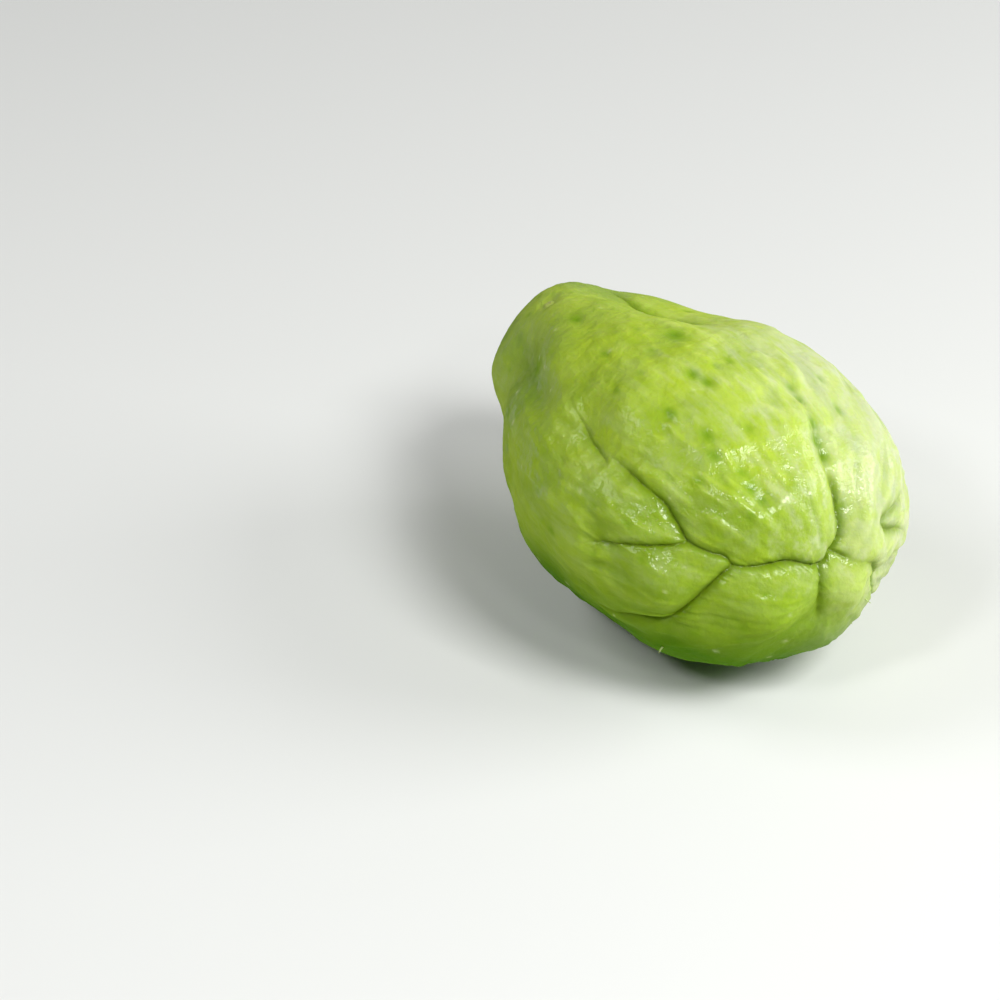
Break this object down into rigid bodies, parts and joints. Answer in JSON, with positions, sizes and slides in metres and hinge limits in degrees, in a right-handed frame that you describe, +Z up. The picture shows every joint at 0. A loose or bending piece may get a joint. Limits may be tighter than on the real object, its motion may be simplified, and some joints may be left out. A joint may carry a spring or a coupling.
{
  "type": "chayote squash",
  "caption": "Whole pear-shaped chayote squash lying on its side, with soft ribs and deep puckered folds at the blossom end.",
  "frame": {"origin": "bottom centre of the bounding box, on the surface that the fruit rests on", "axes": "+X along the fruit towards its wide, folded blossom end, +Z up, away from the resting surface"},
  "size_m": [0.131, 0.093, 0.078],
  "materials": {
    "skin": "waxy, satin"
  },
  "bodies": {
    "root": {"chayote_fruit": "skin"}
  },
  "joints": []
}
